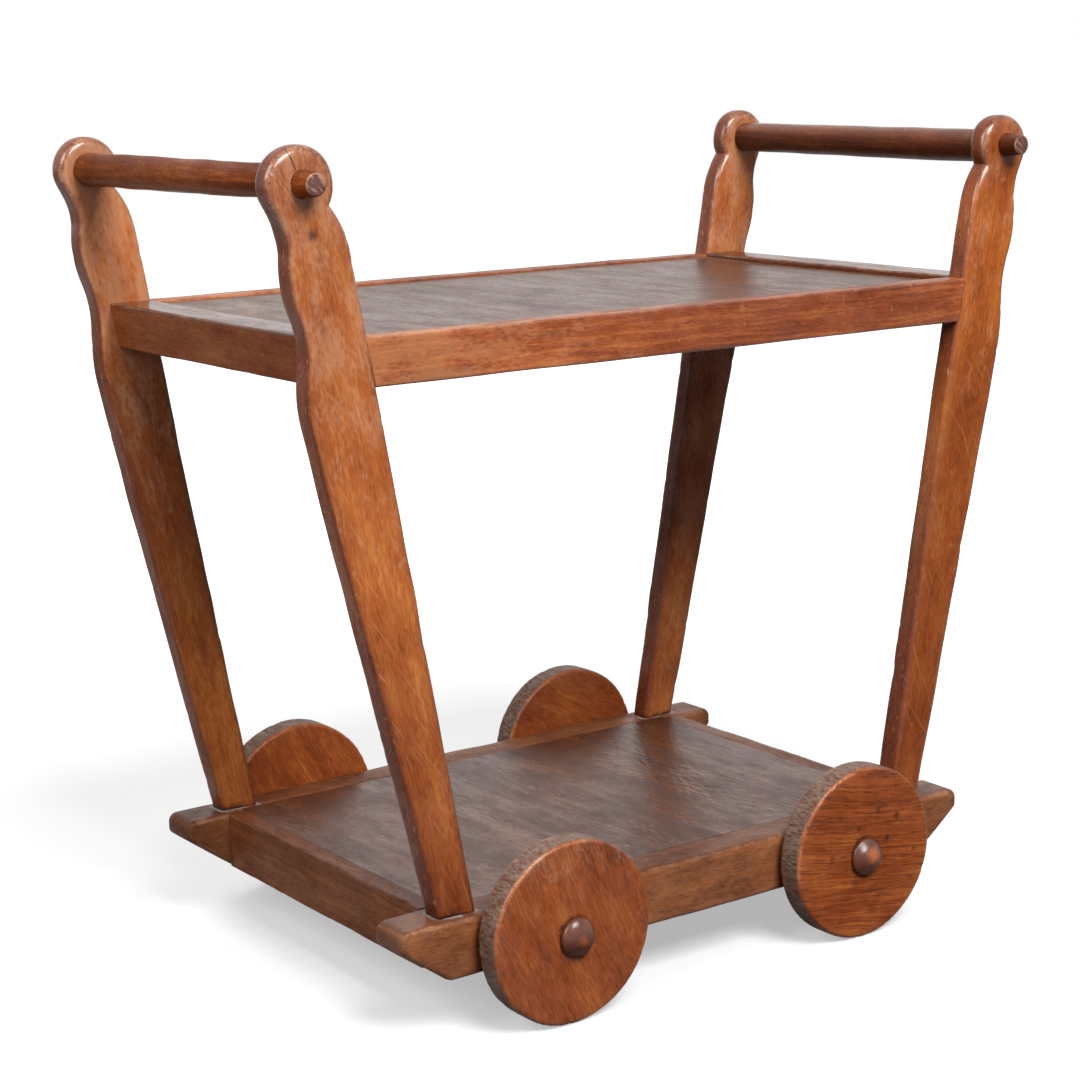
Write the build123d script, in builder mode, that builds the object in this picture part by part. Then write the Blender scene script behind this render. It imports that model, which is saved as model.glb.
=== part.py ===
"""Serving trolley: a deck on four turned wheels, leaning legs, a top tray and two handle bars.

Millimetres. X runs along the trolley, Y across it and Z up from the floor; the origin is on the floor
in the middle. The left and right halves mirror each other, and so do the near and far sides.
"""
import os
from math import atan, cos, degrees, radians, sin

from build123d import *

os.makedirs("parts", exist_ok=True)

# Wheels and their axle pegs
wheel_radius = 80.0
wheel_width = 26.0
wheel_arris = 2.5
axle_x = 163.0
axle_radius = 9.0
running_clearance = 0.06
side_play = 0.4
spacer_width = 6.1
spacer_radius = 20.0
hub_radius = 17.0
hub_rim = 2.5
hub_height = 12.5
axle_end_cover = 12.0

# Lower deck
deck_top = 103.5
rail_height = 51.5
rail_thickness = 42.5
rail_outer_y = 204.0
rail_half_length = 311.0
nose_tip_height = 17.5
nose_foot_x = 264.5
nose_top_radius = 9.0
nose_lip_radius = 6.0
nose_foot_radius = 14.0
rail_arris = 4.5
apron_face_x = 268.0
apron_thickness = 26.0
apron_arris = 2.0
deck_thickness = 16.0
deck_rebate = 8.0
deck_gap = 0.3

# Legs
leg_thickness = 22.0
leg_face_y = 195.0
leg_arris = 4.5
foot_inner_x = 231.9
foot_outer_x = 269.0
inner_lean = 0.1795
outer_lean = 0.2346
shoulder_z = 651.0
cusp_angle = 211.1
head_x = 370.0
head_z = 700.8
head_radius = 28.5
neck_angle = -26.0
cusp_radius = 1.5
neck_radius = 15.0
lower_bulge_z = (511.0, 553.0)
waist_top_z = 562.0
upper_bulge_z = (603.0, 650.0)
upper_bulge_tilt = 21.0
neck_tilt = -4.0

# Top tray
tray_top = 584.5
tray_depth = 39.5
tray_arris = 2.5
rim_height = 6.2
tray_panel_thickness = 9.0
tray_tongue = 6.0
tray_tongue_thickness = 6.0
groove_room = 0.4
end_rail_width = 38.0
end_rail_rise = 1.0
tongue_corner_gap = 12.0

# Handle bars and their pegs
handle_z = 703.0
handle_radius = 14.2
peg_radius = 11.0
peg_tip_radius = 9.0
peg_reach = 19.0
peg_tip_arris = 2.0

# Stub tenons
foot_tenon_width = 22.0
foot_tenon_thickness = 10.0
foot_tenon_length = 28.0
apron_tenon_thickness = 10.0
apron_tenon_height = 28.0
apron_tenon_length = 12.0
tray_tenon_thickness = 8.0
tray_tenon_height = 24.0
tray_tenon_length = 12.0
end_tenon_width = 14.0
end_tenon_outset = 6.0
mortise_room = 0.3

# Worked-out places
rail_bottom = deck_top - rail_height
rail_inner_y = rail_outer_y - rail_thickness
rail_mid_z = deck_top - rail_height / 2
leg_inner_y = leg_face_y - leg_thickness
leg_mid_y = leg_face_y - leg_thickness / 2
apron_inner_x = apron_face_x - apron_thickness
tray_bottom = tray_top - tray_depth
tray_mid_z = tray_top - tray_depth / 2
tray_panel_top = tray_top - rim_height
tray_panel_bottom = tray_panel_top - tray_panel_thickness
tongue_mid_z = tray_panel_bottom + tray_tongue_thickness / 2
wheel_inner_y = rail_outer_y + spacer_width + side_play
wheel_outer_y = wheel_inner_y + wheel_width
hub_seat_y = wheel_outer_y + side_play
axle_end_y = rail_inner_y + axle_end_cover

ends = {"left": -1, "right": 1}
sides = {"near": -1, "far": 1}


def save(builder, name):
    """Labels a finished piece and writes it as its own file."""
    builder.part.label = name
    export_step(builder.part, f"parts/{name}.step")


def across(low_y, high_y):
    """Plane of a profile in X and Z whose extrusion by high_y - low_y fills the space between the two."""
    return Plane.XZ.offset(-high_y), high_y - low_y


def band(side, inner, outer):
    """Low and high Y of a band between two distances from the middle, on one side."""
    return sorted((side * inner, side * outer))


def inner_edge_x(z):
    """Distance from the middle to a leg's straight inner edge at height z."""
    return foot_inner_x + inner_lean * (z - deck_top)


def outer_edge_x(z):
    """Distance from the middle to the straight run of a leg's outer edge at height z."""
    return foot_outer_x + outer_lean * (z - deck_top)


tray_panel_half = inner_edge_x(tray_panel_bottom)


def arc_run(start, end_z, from_tilt, to_tilt):
    """End point of an arc that climbs from start to end_z while its tilt from upright changes."""
    first = radians(from_tilt)
    last = radians(to_tilt)
    return start[0] + (end_z - start[1]) * (cos(first) - cos(last)) / (sin(last) - sin(first)), end_z


def on_head(angle):
    """Point of the round head's rim at an angle in degrees, for a leg of the right end."""
    return head_x + head_radius * cos(radians(angle)), head_z + head_radius * sin(radians(angle))


def tray_tenon_corners(end, room):
    """Corners of a tray apron's stub tenon in X and Z, parallel to the leaning edge that it enters."""
    low = tray_mid_z - tray_tenon_height / 2 - room
    high = tray_mid_z + tray_tenon_height / 2 + room
    reach = tray_tenon_length + room
    return (
        (end * inner_edge_x(low), low),
        (end * (inner_edge_x(low) + reach), low),
        (end * (inner_edge_x(high) + reach), high),
        (end * inner_edge_x(high), high),
    )


def end_rail_tenon(end, side, room):
    """Stub tenon of a tray end rail, or its mortise, as a box into the leg's inner face."""
    outer_x = inner_edge_x(tray_mid_z) + end_rail_width
    middle_x = outer_x - end_tenon_outset - end_tenon_width / 2
    with Locations((end * middle_x, side * (leg_inner_y + (tray_tenon_length + room) / 2), tray_mid_z)):
        Box(
            end_tenon_width + 2 * room,
            tray_tenon_length + room,
            tray_tenon_height + 2 * room,
            mode=Mode.SUBTRACT if room else Mode.ADD,
        )


def foot_tenon(end, side, room):
    """Stub tenon of a leg's foot, or its mortise, as a box down into the rail."""
    middle_x = (foot_inner_x + foot_outer_x) / 2
    with Locations((end * middle_x, side * leg_mid_y, deck_top - (foot_tenon_length + room) / 2)):
        Box(
            foot_tenon_width + 2 * room,
            foot_tenon_thickness + 2 * room,
            foot_tenon_length + room,
            mode=Mode.SUBTRACT if room else Mode.ADD,
        )


def apron_tenon(end, side, room):
    """Stub tenon of a lower end apron, or its mortise, as a box into the rail's inner face."""
    middle_x = apron_face_x - apron_thickness / 2
    with Locations((end * middle_x, side * (rail_inner_y + (apron_tenon_length + room) / 2), rail_mid_z)):
        Box(
            apron_tenon_thickness + 2 * room,
            apron_tenon_length + room,
            apron_tenon_height + 2 * room,
            mode=Mode.SUBTRACT if room else Mode.ADD,
        )


def make_rail(side):
    """Lower side rail: rounded noses, mortises for feet and aprons, a rebate for the deck, two axle holes."""
    nose_low_z = deck_top - nose_tip_height
    low_y, high_y = band(side, rail_inner_y, rail_outer_y)
    plane, depth = across(low_y, high_y)
    with BuildPart() as rail:
        with BuildSketch(plane):
            with BuildLine():
                FilletPolyline(
                    (-rail_half_length, deck_top),
                    (rail_half_length, deck_top),
                    (rail_half_length, nose_low_z),
                    (nose_foot_x, rail_bottom),
                    (-nose_foot_x, rail_bottom),
                    (-rail_half_length, nose_low_z),
                    radius=[
                        nose_top_radius,
                        nose_top_radius,
                        nose_lip_radius,
                        nose_foot_radius,
                        nose_foot_radius,
                        nose_lip_radius,
                    ],
                    close=True,
                )
            make_face()
        extrude(amount=depth)
        fillet(rail.faces().filter_by(Axis.Y).edges(), radius=rail_arris)
        with Locations((0, side * (rail_inner_y + deck_rebate / 2), deck_top - deck_thickness / 2)):
            Box(2 * (apron_inner_x + deck_rebate), deck_rebate, deck_thickness, mode=Mode.SUBTRACT)
        for end in ends.values():
            foot_tenon(end, side, mortise_room)
            apron_tenon(end, side, mortise_room)
        hole_plane, hole_depth = across(*band(side, axle_end_y, rail_outer_y))
        with BuildSketch(hole_plane):
            with Locations((-axle_x, wheel_radius), (axle_x, wheel_radius)):
                Circle(axle_radius)
        extrude(amount=hole_depth, mode=Mode.SUBTRACT)
    return rail


def make_lower_apron(end):
    """Lower end apron between the rails, rebated for the deck, with a stub tenon at each end."""
    middle_x = end * (apron_face_x - apron_thickness / 2)
    rebate_x = end * (apron_inner_x + deck_rebate / 2)
    with BuildPart() as apron:
        with Locations((middle_x, 0, rail_mid_z)):
            Box(apron_thickness, 2 * rail_inner_y, rail_height)
        outer_face = apron.faces().sort_by(Axis.X)[-1 if end > 0 else 0]
        fillet(outer_face.edges().filter_by(Axis.Y), radius=apron_arris)
        with Locations((rebate_x, 0, deck_top - deck_thickness / 2)):
            Box(deck_rebate, 2 * rail_inner_y, deck_thickness, mode=Mode.SUBTRACT)
        for side in sides.values():
            apron_tenon(end, side, 0)
    return apron


def make_leg(end, side):
    """Leg board: straight inner edge, shoulder, cusp, round head and a wavy outer edge.

    It has rounded arrises, a foot tenon, mortises for the tray and a hole for the handle's peg.
    """
    def at(point):
        return end * point[0], point[1]

    def upwards(tilt):
        return at((sin(radians(tilt)), cos(radians(tilt))))

    outer_tilt = degrees(atan(outer_lean))
    shoulder = (inner_edge_x(shoulder_z), shoulder_z)
    bulge_low = (outer_edge_x(lower_bulge_z[0]), lower_bulge_z[0])
    bulge_high = arc_run(bulge_low, lower_bulge_z[1], outer_tilt, 0)
    waist = (bulge_high[0], waist_top_z)
    swell = arc_run(waist, upper_bulge_z[0], 0, upper_bulge_tilt)
    neck = arc_run(swell, upper_bulge_z[1], upper_bulge_tilt, neck_tilt)
    plane, depth = across(*band(side, leg_inner_y, leg_face_y))
    with BuildPart() as leg:
        with BuildSketch(plane) as outline:
            with BuildLine():
                Polyline(
                    at(bulge_low),
                    at((foot_outer_x, deck_top)),
                    at((foot_inner_x, deck_top)),
                    at(shoulder),
                )
                TangentArc(at(shoulder), at(on_head(cusp_angle)), tangent=at((inner_lean, 1)))
                ThreePointArc(at(on_head(cusp_angle)), at(on_head(90)), at(on_head(neck_angle)))
                TangentArc(at(neck), at(on_head(neck_angle)), tangent=upwards(neck_tilt))
                TangentArc(at(swell), at(neck), tangent=upwards(upper_bulge_tilt))
                TangentArc(at(waist), at(swell), tangent=upwards(0))
                Line(at(bulge_high), at(waist))
                TangentArc(at(bulge_low), at(bulge_high), tangent=upwards(outer_tilt))
            make_face()
            for corner, radius in ((cusp_angle, cusp_radius), (neck_angle, neck_radius)):
                fillet(outline.vertices().sort_by_distance(at(on_head(corner)))[0], radius=radius)
        extrude(amount=depth)
        rims = leg.faces().filter_by(Axis.Y).edges()
        fillet(rims - rims.group_by(Axis.Z)[0], radius=leg_arris)
        foot_tenon(end, side, 0)
        tenon_half = tray_tenon_thickness / 2 + mortise_room
        mortise_plane, mortise_depth = across(side * leg_mid_y - tenon_half, side * leg_mid_y + tenon_half)
        with BuildSketch(mortise_plane):
            with BuildLine():
                Polyline(*tray_tenon_corners(end, mortise_room), close=True)
            make_face()
        extrude(amount=mortise_depth, mode=Mode.SUBTRACT)
        end_rail_tenon(end, side, mortise_room)
        with BuildSketch(plane):
            with Locations((end * head_x, handle_z)):
                Circle(peg_radius)
        extrude(amount=depth, mode=Mode.SUBTRACT)
    return leg


def make_tray_apron(side):
    """Tray side apron between two legs: leaning ends with stub tenons and a groove for the tray panel."""
    plane, depth = across(*band(side, leg_inner_y, leg_face_y))
    groove_half = tray_panel_half - tongue_corner_gap + groove_room
    with BuildPart() as apron:
        with BuildSketch(plane):
            with BuildLine():
                Polyline(
                    (-inner_edge_x(tray_bottom), tray_bottom),
                    (inner_edge_x(tray_bottom), tray_bottom),
                    (inner_edge_x(tray_top), tray_top),
                    (-inner_edge_x(tray_top), tray_top),
                    close=True,
                )
            make_face()
        extrude(amount=depth)
        fillet(apron.edges().filter_by(Axis.X), radius=tray_arris)
        groove_depth = tray_tongue + groove_room
        with Locations((0, side * (leg_inner_y + groove_depth / 2), tongue_mid_z)):
            Box(2 * groove_half, groove_depth, tray_tongue_thickness, mode=Mode.SUBTRACT)
        tenon_half = tray_tenon_thickness / 2
        tenon_plane, tenon_depth = across(side * leg_mid_y - tenon_half, side * leg_mid_y + tenon_half)
        for end in ends.values():
            with BuildSketch(tenon_plane):
                with BuildLine():
                    Polyline(*tray_tenon_corners(end, 0), close=True)
                make_face()
            extrude(amount=tenon_depth)
    return apron


def make_tray_end_rail(end):
    """Tray end rail between the inner faces of two legs, leaning as their inner edges do.

    It has a stub tenon at each end and a groove for the tray panel.
    """
    low_z = tray_bottom + end_rail_rise
    high_z = tray_top + end_rail_rise
    groove_depth = tray_tongue + groove_room
    groove_length = 2 * (leg_inner_y - tongue_corner_gap + groove_room)
    plane, depth = across(-leg_inner_y, leg_inner_y)
    with BuildPart() as rail:
        with BuildSketch(plane):
            with BuildLine():
                Polyline(
                    (end * inner_edge_x(low_z), low_z),
                    (end * (inner_edge_x(low_z) + end_rail_width), low_z),
                    (end * (inner_edge_x(high_z) + end_rail_width), high_z),
                    (end * inner_edge_x(high_z), high_z),
                    close=True,
                )
            make_face()
        extrude(amount=depth)
        fillet(rail.edges().filter_by(Axis.Y), radius=tray_arris)
        with Locations((end * (tray_panel_half + groove_depth / 2), 0, tongue_mid_z)):
            Box(groove_depth, groove_length, tray_tongue_thickness, mode=Mode.SUBTRACT)
        for side in sides.values():
            end_rail_tenon(end, side, 0)
    return rail


def make_handle(end):
    """Handle bar between two heads, stepped down at both ends to pegs that taper outside the heads."""
    tip_y = leg_face_y + peg_reach
    middle = (end * head_x, 0, handle_z)
    with BuildPart() as handle:
        with BuildSketch(Plane(middle, x_dir=(1, 0, 0), z_dir=(0, 0, 1))):
            with BuildLine():
                FilletPolyline(
                    (0, -tip_y),
                    (peg_tip_radius, -tip_y),
                    (peg_radius, -leg_face_y),
                    (peg_radius, -leg_inner_y),
                    (handle_radius, -leg_inner_y),
                    (handle_radius, leg_inner_y),
                    (peg_radius, leg_inner_y),
                    (peg_radius, leg_face_y),
                    (peg_tip_radius, tip_y),
                    (0, tip_y),
                    radius=[0, peg_tip_arris, 0, 0, 0, 0, 0, 0, peg_tip_arris, 0],
                    close=True,
                )
            make_face()
        revolve(axis=Axis(middle, (0, 1, 0)))
    return handle


def make_wheel(end, side):
    """Turned wheel with eased rims and a bore that runs on its axle peg."""
    plane, depth = across(*band(side, wheel_inner_y, wheel_outer_y))
    with BuildPart() as wheel:
        with BuildSketch(plane):
            with Locations((end * axle_x, wheel_radius)):
                Circle(wheel_radius)
        extrude(amount=depth)
        fillet(wheel.edges(), radius=wheel_arris)
        with BuildSketch(plane):
            with Locations((end * axle_x, wheel_radius)):
                Circle(axle_radius + running_clearance)
        extrude(amount=depth, mode=Mode.SUBTRACT)
    return wheel


def make_axle_peg(end, side):
    """Axle peg: a round shank fixed in the rail and a domed head that keeps the wheel on."""
    rim_y = hub_seat_y + hub_rim
    top_y = hub_seat_y + hub_height
    with BuildPart() as peg:
        with BuildSketch(Plane((end * axle_x, 0, wheel_radius), x_dir=(1, 0, 0), z_dir=(0, 0, 1))):
            with BuildLine():
                Polyline(
                    (0, side * top_y),
                    (0, side * axle_end_y),
                    (axle_radius, side * axle_end_y),
                    (axle_radius, side * hub_seat_y),
                    (hub_radius, side * hub_seat_y),
                    (hub_radius, side * rim_y),
                )
                TangentArc((0, side * top_y), (hub_radius, side * rim_y), tangent=(1, 0))
            make_face()
        revolve(axis=Axis((end * axle_x, 0, wheel_radius), (0, 1, 0)))
    return peg


def make_spacer(end, side):
    """Spacer ring on the axle peg that holds the wheel off the rail."""
    plane, depth = across(*band(side, rail_outer_y, rail_outer_y + spacer_width))
    with BuildPart() as spacer:
        with BuildSketch(plane):
            with Locations((end * axle_x, wheel_radius)):
                Circle(spacer_radius)
                Circle(axle_radius, mode=Mode.SUBTRACT)
        extrude(amount=depth)
    return spacer


def make_deck_panel():
    """Deck panel that lies in the rebates of the rails and aprons, flush with their tops."""
    length = 2 * (apron_inner_x + deck_rebate - deck_gap)
    width = 2 * (rail_inner_y + deck_rebate - deck_gap)
    with BuildPart() as panel:
        with Locations((0, 0, deck_top - deck_thickness / 2)):
            Box(length, width, deck_thickness)
    return panel


def make_tray_panel():
    """Tray panel with thinner tongues along the bottom of all four sides, which stop short of the legs."""
    side_tongue_half = tray_panel_half - tongue_corner_gap
    end_tongue_half = leg_inner_y - tongue_corner_gap
    with BuildPart() as panel:
        with BuildSketch(Plane.XY.offset(tray_panel_bottom)):
            Rectangle(2 * tray_panel_half, 2 * leg_inner_y)
        extrude(amount=tray_panel_thickness)
        with BuildSketch(Plane.XY.offset(tray_panel_bottom)):
            Rectangle(2 * side_tongue_half, 2 * (leg_inner_y + tray_tongue))
            Rectangle(2 * (tray_panel_half + tray_tongue), 2 * end_tongue_half)
        extrude(amount=tray_tongue_thickness)
    return panel


for side_name, side in sides.items():
    save(make_rail(side), f"{side_name}_lower_rail")
    save(make_tray_apron(side), f"{side_name}_tray_apron")

for end_name, end in ends.items():
    save(make_lower_apron(end), f"{end_name}_lower_apron")
    save(make_tray_end_rail(end), f"{end_name}_tray_end_rail")
    save(make_handle(end), f"{end_name}_handle_bar")

for side_name, side in sides.items():
    for end_name, end in ends.items():
        corner = f"{side_name}_{end_name}"
        save(make_leg(end, side), f"{corner}_leg")
        save(make_wheel(end, side), f"{corner}_wheel")
        save(make_axle_peg(end, side), f"{corner}_axle_peg")
        save(make_spacer(end, side), f"{corner}_spacer")

save(make_deck_panel(), "deck_panel")
save(make_tray_panel(), "tray_panel")
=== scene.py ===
"""Serving trolley in waxed oak: boards, panels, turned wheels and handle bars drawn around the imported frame.

Metres, in the frame's own axes: X along the trolley, Y across it, Z up from the floor.
"""
import math
from functools import partialmethod

import bmesh
import bpy
import numpy as np
from mathutils import Matrix, Vector


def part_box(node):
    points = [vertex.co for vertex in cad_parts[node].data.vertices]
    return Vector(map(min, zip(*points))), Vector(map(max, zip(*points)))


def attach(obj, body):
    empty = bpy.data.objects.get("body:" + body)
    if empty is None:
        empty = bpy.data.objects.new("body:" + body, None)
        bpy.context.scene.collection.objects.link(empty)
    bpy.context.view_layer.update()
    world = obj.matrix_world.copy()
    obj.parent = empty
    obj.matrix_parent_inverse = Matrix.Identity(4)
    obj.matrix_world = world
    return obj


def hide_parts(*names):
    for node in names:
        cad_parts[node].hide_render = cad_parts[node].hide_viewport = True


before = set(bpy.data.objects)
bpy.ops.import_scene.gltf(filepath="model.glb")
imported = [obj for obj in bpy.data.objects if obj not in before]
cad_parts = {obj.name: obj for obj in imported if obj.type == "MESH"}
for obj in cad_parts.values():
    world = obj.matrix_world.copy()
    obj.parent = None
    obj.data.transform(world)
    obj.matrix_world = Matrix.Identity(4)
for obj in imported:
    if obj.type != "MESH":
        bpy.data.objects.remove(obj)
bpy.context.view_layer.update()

signs = {"left": -1, "right": 1, "near": -1, "far": 1}
corners = [f"{side}_{end}" for side in ("near", "far") for end in ("left", "right")]

# Places read from the frame, on the far side and the right end
(_, rail_inner_y, rail_bottom), (rail_half_length, rail_outer_y, deck_top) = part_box("far_lower_rail")
(apron_inner_x, *_), (apron_face_x, *_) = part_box("right_lower_apron")
(_, leg_inner_y, tray_bottom), (_, leg_face_y, tray_top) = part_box("far_tray_apron")
(*_, end_rail_bottom), (*_, end_rail_top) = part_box("right_tray_end_rail")
(*_, deck_panel_bottom), (*_, deck_panel_top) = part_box("deck_panel")
(*_, tray_panel_bottom), (*_, tray_panel_top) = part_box("tray_panel")
(wheel_left, wheel_inner_y, _), (wheel_right, wheel_outer_y, wheel_top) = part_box("far_right_wheel")
wheel_radius = axle_z = wheel_top / 2
axle_x = (wheel_left + wheel_right) / 2
(_, peg_inner_y, _), (_, peg_outer_y, _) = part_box("far_right_axle_peg")
(bar_left, _, bar_bottom), (bar_right, bar_tip_y, bar_top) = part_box("right_handle_bar")
bar_x, bar_z, bar_radius = (bar_left + bar_right) / 2, (bar_bottom + bar_top) / 2, (bar_right - bar_left) / 2

# Leg outline, for the right end
foot_inner_x, foot_outer_x = 0.2319, 0.269
inner_lean, outer_lean = 0.1795, 0.2346
shoulder_z, waist_top_z = 0.651, 0.562
lower_bulge_z, upper_bulge_z = (0.511, 0.553), (0.603, 0.650)
upper_bulge_tilt, neck_tilt = math.radians(21), math.radians(-4)
cusp_angle, neck_angle = math.radians(211.1), math.radians(-26)
head_x, head_z, head_radius = 0.370, 0.7008, 0.0285
leg_arris, head_arris = 0.0045, 0.0075
shaft_rows, head_rows = 260, 46
leg_shares = [0.06, 0.15, 0.28, 0.42, 0.58, 0.72, 0.85, 0.94]

# Changes along a leg, each from the height where it begins to the height where it is complete
arris_grows_z, crown_z = (0.64, 0.70), (0.695, 0.722)
head_swells_z, shaft_swells_z, swell_ends_z = (0.648, 0.668), (0.1, 0.5), (0.6, 0.53)
inset_z, inset_eases_z = (0.42, 0.6), (0.66, 0.69)
# Legs grow paler towards the top, partly by fading and partly by a painted pale sheen.
fade_and_light_z, rubbed_z, shines_z, held_z = (0.2, 0.6), (0.5, 0.66), (0.48, 0.6), (0.665, 0.70)
# Heights where legs darken by their own colour and painted shade, and painted shade darkens their edges.
tone_and_shade_heights = [0.12, 0.22, 0.38, 0.50, 0.56, 0.64, 0.72]
edge_heights = [0.15, 0.36, 0.40, 0.47, 0.53, 0.60, 0.65, 0.685]

# Rails, aprons and panels
nose_tip_height, nose_foot_x = 0.0175, 0.2645
nose_top_radius, nose_lip_radius, nose_foot_radius = 0.0084, 0.006, 0.014
nose_worn_x, nose_kept_x, nose_cut_x = (0.27, 0.29), (0.298, 0.308), (0.3, 0.311)
nose_rows, middle_rows, middle_x = 44, 230, 0.24
tray_apron_rows, end_rail_rows, apron_rows = 330, 190, 170
rail_arris, apron_arris, tray_arris, rebate_arris = 0.0045, 0.002, 0.0022, 0.0002
rebate_width, rebate_depth = 0.008, 0.016
rebate_end = apron_inner_x + rebate_width
end_rail_width, butt_overlap = 0.038, 0.0015
panel_edge, panel_gap = 0.0002, 0.00005
tray_rise, tray_cup = 0.002, 0.0018
# The far rail's left end takes painted shade; rails and lower aprons darken towards their bottom edges.
rail_darkens_z, apron_darkens_z, rail_painted_shade_x = (0.066, 0.05), (0.068, 0.05), (-0.255, -0.275)
# Painted light falls off along the tray aprons: darker to the right, paler to the left.
apron_shade_falloff_x, apron_light_falloff_x, panel_bleach_x = (-0.25, 0.05), (-0.3, 0.05), (-0.12, -0.3)
rail_shares = [0.08, 0.2, 0.35, 0.5, 0.65, 0.8, 0.92]
apron_shares = [0.05, 0.13, 0.27, 0.42, 0.58, 0.73, 0.87, 0.95]
panel_shares = np.linspace(0, 1, 132)[1:-1]
ledge_shares = np.array([[0.6, 0.25]])

# Turned pieces
bore_radius, shank_radius = 0.00906, 0.009
wheel_arris, wheel_angles, wheel_nicks = 0.004, 640, 34
hub_radius, hub_rim, hub_seat_y, hub_angles = 0.017, 0.0025, 0.2369, 96
peg_radius, peg_tip_radius, peg_tip_arris = 0.011, 0.009, 0.002
bar_rows, bar_angles = 70, 72

round_steps = 5
arris_swell, arris_swell_length = 0.06, 0.06
same_point, weld_distance, sliver = 1e-6, 2e-6, 1e-6


def unit(vectors):
    """The same vectors at length one."""
    return vectors / np.linalg.norm(vectors, axis=-1, keepdims=True)


def points_of(*coordinates):
    """Points from one array or number for each axis."""
    return np.stack(np.broadcast_arrays(*coordinates), -1)


def axes_of(points):
    """The coordinates of points, as one array for each axis."""
    return np.moveaxis(points, -1, 0)


def smooth(value, low, high):
    """Smooth step: 0 below low, 1 above high, and the cubic 3t^2 - 2t^3 between them."""
    t = np.clip((value - low) / (high - low), 0, 1)
    return t * t * (3 - 2 * t)


def bell(distance, width):
    """Bell curve: e to the power of minus the square of distance over width."""
    return np.exp(-(distance / width) ** 2)


def trailing(distance, reach):
    """1 up to distance 0, then e to the power of minus distance over reach."""
    return np.exp(-np.maximum(distance, 0) / reach)


def near_top(z, top, depth=0.003):
    """1 at the top of a board, from a little under it, and 0 deeper down."""
    return smooth(z, top - depth, top - 0.0005)


def sine_field(points, wavelength, seed, waves=12):
    """Smooth uneven field of about unit height.

    It is the sum of plane sine waves whose headings, lengths and phases are drawn from the seed.
    """
    draw = np.random.default_rng(seed)
    heading = unit(draw.normal(size=(waves, points.shape[-1])))
    count = heading * (2 * np.pi / (wavelength * draw.uniform(0.6, 1.7, waves)))[:, None]
    phase = draw.uniform(0, 2 * np.pi, waves)
    return np.sin(points @ count.T + phase).sum(-1) * math.sqrt(2 / waves)


def run_length(line):
    """Distance along a line of points, from its first point."""
    return np.concatenate(([0], np.cumsum(np.linalg.norm(np.diff(line, axis=0), axis=1))))


def spaced(line, count):
    """The same line with count points at even distances along it."""
    length = run_length(line)
    at = np.linspace(0, length[-1], count)
    return points_of(*(np.interp(at, length, axis) for axis in line.T))


def tangent_arc(start, heading, end, count=40):
    """Arc that leaves start along heading and passes through end.

    The chord to the point at share s of the arc turns from the heading by s times the angle to the whole
    chord, and its length goes with the sine of that turn.
    """
    start, heading = np.array(start), unit(np.array(heading, float))
    chord = np.array(end) - start
    whole = math.atan2(heading[0] * chord[1] - heading[1] * chord[0], heading @ chord)
    turn = np.linspace(0, whole, count)
    length = np.linalg.norm(chord) * np.sin(turn) / math.sin(whole)
    x = heading[0] * np.cos(turn) - heading[1] * np.sin(turn)
    y = heading[0] * np.sin(turn) + heading[1] * np.cos(turn)
    return start + length[:, None] * points_of(x, y)


def rounded_line(points, radii, count=9):
    """Line through points whose inner corners are arcs of the given radii, tangent to both runs."""
    points = np.array(points, float)
    line = [points[:1]]
    for before, corner, after, radius in zip(points, points[1:], points[2:], radii):
        to_before, to_after = unit(before - corner), unit(after - corner)
        half = math.acos(to_before @ to_after) / 2
        cut = radius / math.tan(half)
        line.append(tangent_arc(corner + cut * to_before, -to_before, corner + cut * to_after, count))
    return np.concatenate(line + [points[-1:]])


def eased(line, middle, reach, passes):
    """The line with its corner near middle softened.

    Each pass pulls points towards the mean of their neighbours, by a bell curve of the distance from middle.
    """
    weight = bell(np.linalg.norm(line - np.array(middle), axis=1), reach)[1:-1, None]
    line = line.copy()
    for _ in range(passes):
        line[1:-1] += weight * ((line[:-2] + line[2:]) / 2 - line[1:-1]) * 0.5
    return line


def crowded(line, row):
    """The line with two more points, each a little of the way from the point of that row to a neighbour."""
    extra = line[row] + 0.15 * (line[[row - 1, row + 1]] - line[row])
    return np.insert(line, [row, row + 1], extra, axis=0)


def outward(line, other):
    """Unit normals of an edge line in its plane, pointing away from the board's other edge line."""
    run = np.gradient(line, axis=0)
    normal = unit(points_of(run[:, 1], -run[:, 0]))
    return normal * np.sign(((line - other) * normal).sum())


def worn_arrises(radius, edge_a, edge_b, seed, nicks, known=()):
    """Worn radii of a board's four arrises, in the order that board takes.

    Each is its made size, a slow random swell, and short bell-shaped nicks. These are seeded, and known ones
    are added by arris as (distance along its line, depth, width).
    """
    radii = []
    for k, line in enumerate((edge_a, edge_b, edge_b, edge_a)):
        s = run_length(line)
        draw = np.random.default_rng(seed + k)
        place, depth = draw.uniform(0, s[-1], nicks), draw.uniform(0.08, 0.3, nicks) * np.mean(radius)
        seeded = points_of(place, depth, draw.uniform(0.0015, 0.005, nicks))
        place, depth, width = np.concatenate([seeded, np.reshape(dict(known).get(k, ()), (-1, 3))]).T
        dips = (depth * bell(s[:, None] - place, width)).sum(1)
        radii.append(radius * (1 + arris_swell * sine_field(s[:, None], arris_swell_length, seed + k)) + dips)
    return radii


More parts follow.
